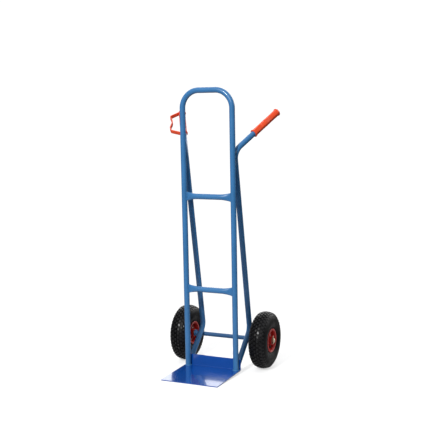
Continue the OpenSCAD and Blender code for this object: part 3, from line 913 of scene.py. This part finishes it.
def rim_half(outward):
    """Half of the moulded rim: barrel with its lip, hub, spokes with gussets, and bolt bosses."""
    barrel_in = RIM_SEAT_R - RIM_WALL
    barrel = lathe(rounded_outline([
        (barrel_in, 0.0, 0.3 * MM), (RIM_SEAT_R, 0.0, 0.3 * MM), (RIM_SEAT_R, RIM_HALF_W, 2.0 * MM),
        (RIM_LIP_R, RIM_HALF_W, 1.2 * MM), (RIM_LIP_R, RIM_HALF_W + 4 * MM, 1.8 * MM),
        (barrel_in + 2.5 * MM, RIM_HALF_W + 4 * MM, 2.0 * MM), (barrel_in, RIM_HALF_W - 3 * MM, 2.0 * MM),
        (barrel_in, 15 * MM, 2.0 * MM), (barrel_in - 3 * MM, SPOKE_T, 1.5 * MM),
        (barrel_in - 3 * MM, 0.0, 0.3 * MM)], 0, 5), 120)
    hub = lathe(rounded_outline([
        (SLEEVE_R, 0.0, 0), (HUB_R + 3 * MM, 0.0, 0), (HUB_R + 3 * MM, SPOKE_T, 1.5 * MM),
        (HUB_R, SPOKE_T + 2 * MM, 1.5 * MM), (HUB_R, HUB_HALF, 1.0 * MM),
        (SLEEVE_R, HUB_HALF, 0.5 * MM)], 0, 4), 96)
    parts = [barrel, hub]
    for i in range(SPOKE_COUNT):
        turn = 2 * math.pi * i / SPOKE_COUNT
        spoke = arm(HUB_R - 1 * MM, barrel_in + 2 * MM, 5.0 * MM, 6.5 * MM, 0.0, SPOKE_T)
        parts.append(moved(spoke, Matrix.Rotation(turn, 4, "Z")))
        parts.append(gusset(turn))
    boss = lathe(rounded_outline([
        (0.0, 0.0), (7.0 * MM, 0.0), (6.6 * MM, SPOKE_T, 0.8 * MM), (0.0, SPOKE_T)], 0, 3), 36)
    for i in range(BOLT_COUNT):
        turn = Matrix.Rotation(2 * math.pi * i / BOLT_COUNT, 4, "Z")
        parts.append(moved(boss, turn @ Matrix.Translation((BOLT_CIRCLE_R, 0, 0))))
    if not outward:
        flip = Matrix.Scale(-1, 4, Vector((0, 0, 1)))
        parts = [moved(part, flip) for part in parts]
    return parts


def hexagon(across, height, chamfer):
    """Hexagon head with chamfered corners, standing on z = 0."""
    rings = []
    for z, scale in ((0.0, 0.97), (chamfer * 0.3, 1.0), (height - chamfer, 1.0), (height, 0.88)):
        ring = []
        for k in range(24):
            turn = 2 * math.pi * k / 24
            to_flat = (turn + math.pi / 6) % (math.pi / 3) - math.pi / 6
            flat_r = across / 2 / math.cos(to_flat)
            r = min(flat_r, across / 2 * 1.12) * scale
            ring.append(Vector((r * math.cos(turn), r * math.sin(turn), z)))
        rings.append(ring)
    return skin(rings)


def disc(radius, bore, thickness):
    """Washer with slightly broken edges, standing on z = 0."""
    corners = [(bore, 0.0), (radius, 0.0), (radius, thickness), (bore, thickness)]
    return lathe(rounded_outline(corners, 0.4 * MM, 2), 64)


def rim(side):
    matrix = wheel_matrix(side)
    body = f"{side}_wheel"
    for half, outward in (("outer", True), ("inner", False)):
        mesh = join([moved(part, matrix) for part in rim_half(outward)])
        name = f"rim_{half}_{side}"
        add_piece(f"{name}_moulding", mesh, RIM_PLASTIC, body, name, sharp=40)
    heads, nuts = [], []
    back = Matrix.Scale(-1, 4, Vector((0, 0, 1)))
    lift = Matrix.Translation((0, 0, RIM_WASHER_T))
    washer = disc(RIM_WASHER_R, BOLT_R, RIM_WASHER_T)
    head = hexagon(HEX_ACROSS, 3.6 * MM, HEX_CHAMFER)
    nut = moved(hexagon(HEX_ACROSS, 4.4 * MM, HEX_CHAMFER), lift)
    stud_end = 6.6 * MM
    stud = lathe([
        (0.0, 0.0), (BOLT_R, 0.0), (BOLT_R, 6.0 * MM), (2.4 * MM, stud_end), (0.0, stud_end)], 24)
    for i in range(BOLT_COUNT):
        turn = Matrix.Rotation(2 * math.pi * i / BOLT_COUNT, 4, "Z")
        place = turn @ Matrix.Translation((BOLT_CIRCLE_R, 0, SPOKE_T))
        heads += [moved(washer, place), moved(head, place @ lift)]
        nuts += [moved(part, back @ place) for part in (washer, nut, stud)]
    add_piece(f"bolt_heads_{side}", join([moved(p, matrix) for p in heads]), ZINC_STEEL, body,
              f"rim_bolts_{side}")
    add_piece(f"bolt_nuts_{side}", join([moved(p, matrix) for p in nuts]), ZINC_STEEL, body,
              f"rim_nuts_{side}")


def valve(side):
    """Rubber valve stem that rises from the barrel toward the hub, with a ribbed cap."""
    matrix = wheel_matrix(side) @ Matrix.Rotation(math.pi / SPOKE_COUNT, 4, "Z") \
        @ Matrix.Translation((0, 0, 18.5 * MM)) @ Matrix.Rotation(math.pi / 2, 4, "Y")
    body = f"{side}_wheel"
    stem_low = 34.5 * MM
    stem = lathe(rounded_outline([
        (0.0, stem_low), (3.2 * MM, stem_low, 0.5 * MM), (4.2 * MM, 42 * MM, 2 * MM),
        (4.5 * MM, 44 * MM, 0), (4.5 * MM, 56 * MM, 0), (0.0, 56 * MM)], 0, 3), 32)
    add_piece(f"valve_stem_{side}_rubber", join([moved(stem, matrix)]), TUBE_RUBBER, body,
              f"valve_stem_{side}")
    rings = []
    facets, rib = 32, 0.35
    for z, r in ((25.6, 2.6), (26.2, 3.5), (27.0, 3.7), (33.4, 3.9), (34.3, 3.6)):
        ring = []
        for k in range(facets):
            turn = 2 * math.pi * k / facets
            reach = (r - (rib if k % 2 else 0)) * MM
            ring.append(Vector((reach * math.cos(turn), reach * math.sin(turn), z * MM)))
        rings.append(ring)
    add_piece(f"valve_cap_{side}_ribbed", join([moved(skin(rings), matrix)]), CAP_PLASTIC, body,
              f"valve_cap_{side}")


def axle_hardware(side):
    """Collar, washers and split pin on one end of the axle."""
    def span(node):
        low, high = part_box(node)
        near, far = sorted((abs(low.x), abs(high.x)))
        return near, far - near

    near, length = span(f"axle_collar_{side}")
    # The collar takes the darkened axle blue, which is painted shade.
    collar = lathe(rounded_outline([
        (AXLE_R, 0.0), (COLLAR_R, 0.0, 0.8 * MM), (COLLAR_R, length, 0.8 * MM), (AXLE_R, length)], 0, 3), 56)
    add_piece(f"axle_collar_{side}_turned", join([moved(collar, about_axle(side, near))]), SHADED_AXLE_PAINT,
              "frame", f"axle_collar_{side}")
    for place in ("inner", "outer"):
        name = f"{place}_washer_{side}"
        near, length = span(name)
        low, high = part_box(name)
        # The washers take the darkened steel, which is painted shade.
        washer = disc((high.y - low.y) / 2, AXLE_R + 0.2 * MM, length)
        add_piece(f"{name}_plated", join([moved(washer, about_axle(side, near))]), SHADED_WASHER_STEEL,
                  "frame", name)
    near, length = span(f"split_pin_{side}")
    split_pin(side, near + length / 2)


def split_pin(side, x):
    """Split pin: one wire with two legs through the axle, an eye on top and spread tips below."""
    wire = 0.95 * MM
    reach = 15 * MM
    eye = 3.4 * MM
    line = [Vector((0, 5.6 * MM, -reach)), Vector((0, 3.4 * MM, -reach + 1.0 * MM)),
            Vector((0, 1.0 * MM, -AXLE_R - 0.6 * MM)), Vector((0, 1.0 * MM, reach - 2 * MM))]
    for k in range(17):
        turn = math.radians(-60 + 300 * k / 16)
        line.append(Vector((0, eye * math.cos(turn), reach + eye + eye * math.sin(turn))))
    line += [Vector((0, -p.y, p.z)) for p in reversed(line[:4])]
    place = to_row @ Matrix.Translation((SIDES[side] * x, AXLE.y, AXLE.z))
    mesh = join([moved(tube_along(even_points(line, 0.8 * MM), wire, sides=14), place)])
    add_piece(f"split_pin_{side}_wire", mesh, ZINC_STEEL, "frame", f"split_pin_{side}")


def hidden_parts():
    """Inner pieces keep their CAD shape and get their own materials."""
    looks = {"inner_tube": TUBE_RUBBER, "hub_sleeve": GROUND_STEEL, "rollers": GROUND_STEEL,
             "roller_cage": NYLON}
    for side in SIDES:
        for part, material in looks.items():
            piece = frame["nodes"][f"{part}_{side}"]
            for place in piece.material_slots:
                place.material = material


# ---------------------------------------------------------------- studio and camera
BACKDROP = 2.3
LEFT_FILL = 0.25
RIGHT_FILL = 0.06
TOP_FILL = 0.8
FLOOR_ALPHA = 0.45
FLOOR_FADE_FROM = 0.6
FLOOR_FADE_TO = 1.8
WHITE_SEEN = 1.05


def studio():
    """White floor that fades into the surroundings, a small key light high in front, a head light."""
    bpy.ops.mesh.primitive_plane_add(size=6, location=(0, 0, -0.0005))
    floor = bpy.context.object
    floor.name = "studio_floor"
    shade = Shade("floor_white", Roughness=0.7)
    shade.colour(shade.ramp(shade.noise(2, 2), [(0.3, (0.93, 0.93, 0.935)), (0.7, (0.95, 0.95, 0.955))]))
    reach = shade.tree.nodes.new("ShaderNodeVectorMath")
    reach.operation = "LENGTH"
    shade.link(shade.coords, reach.inputs[0])
    alpha = shade.span(reach.outputs["Value"], FLOOR_ALPHA, 0, FLOOR_FADE_FROM, FLOOR_FADE_TO)
    shade.link(alpha, shade.shader.inputs["Alpha"])
    floor.data.materials.append(shade.material)
    bpy.context.scene.world = surroundings()
    lights = (("key_light", (-0.02, -4.0, 3.0), 0.45, 235), ("head_light", (1.15, -3.1, 2.2), 0.7, 14))
    for name, place, size, power in lights:
        data = bpy.data.lights.new(name, "AREA")
        data.size = size
        data.energy = power
        light = bpy.data.objects.new(name, data)
        light.location = place
        light.rotation_euler = (Vector((0, 0, 0.6)) - Vector(place)).to_track_quat("-Z", "Y").to_euler()
        bpy.context.scene.collection.objects.link(light)
    bpy.context.scene.view_settings.view_transform = "Standard"


def surroundings():
    """White for what the camera sees directly; for the light, bright behind and above, dim to the right."""
    world = bpy.data.worlds.new("studio_world")
    world.use_nodes = True
    tree = world.node_tree
    sky = tree.nodes["Background"]
    place = tree.nodes.new("ShaderNodeTexCoord").outputs["Generated"]
    parts = tree.nodes.new("ShaderNodeSeparateXYZ")
    tree.links.new(place, parts.inputs["Vector"])

    def soft(socket, from_low, from_high, low, high):
        made = tree.nodes.new("ShaderNodeMapRange")
        made.interpolation_type = "SMOOTHSTEP"
        for key, value in (
                ("From Min", from_low), ("From Max", from_high), ("To Min", low), ("To Max", high)):
            made.inputs[key].default_value = value
        tree.links.new(socket, made.inputs["Value"])
        return made.outputs["Result"]

    def combine(operation, first, second):
        made = tree.nodes.new("ShaderNodeMath")
        made.operation = operation
        for socket, value in zip(made.inputs, (first, second)):
            if isinstance(value, (int, float)):
                socket.default_value = value
            else:
                tree.links.new(value, socket)
        return made.outputs[0]

    backdrop = combine("MULTIPLY", soft(parts.outputs["Y"], 0.15, 0.65, 0, BACKDROP),
                       soft(parts.outputs["Z"], 0.06, 0.16, 0, 1))
    backdrop = combine("MULTIPLY", backdrop, soft(parts.outputs["Z"], 0.5, 0.85, 1, 0.15))
    left = soft(parts.outputs["X"], -0.9, 0.5, LEFT_FILL, RIGHT_FILL)
    total = combine("ADD", combine("ADD", backdrop, left), soft(parts.outputs["Z"], 0.4, 1.0, 0, TOP_FILL))
    rays = tree.nodes.new("ShaderNodeLightPath").outputs["Is Camera Ray"]
    seen = combine("MAXIMUM", combine("MULTIPLY", rays, WHITE_SEEN),
                   combine("MULTIPLY", combine("SUBTRACT", 1, rays), total))
    tree.links.new(seen, sky.inputs["Strength"])
    sky.inputs["Color"].default_value = (1, 1, 1, 1)
    return world


def camera():
    """Camera at the viewing angle: to the right of the front, a little above the truck's middle."""
    own_place = Vector((1.65094, -3.55027, 1.21690))
    own_way = Vector((-0.41652, 0.89571, -0.15564))
    place = to_row @ own_place
    way = (to_row.to_3x3() @ own_way).normalized()
    data = bpy.data.cameras.new("camera")
    data.sensor_width = 36
    data.lens = 75.0
    data.shift_x = 0.013
    data.shift_y = 0.0522
    view = bpy.data.objects.new("camera", data)
    view.location = place
    view.rotation_euler = way.to_track_quat("-Z", "Y").to_euler()
    bpy.context.scene.collection.objects.link(view)
    bpy.context.scene.camera = view


camera()
studio()
main_hoop()
crossbar_heights = [crossbar("crossbar_lower"), crossbar("crossbar_upper")]
toe_plate()
axle()
for side in SIDES:
    side_tube(side)
    welds(side, crossbar_heights)
    grip(side)
    axle_hardware(side)
    tyre(side)
    rim(side)
    valve(side)
hidden_parts()
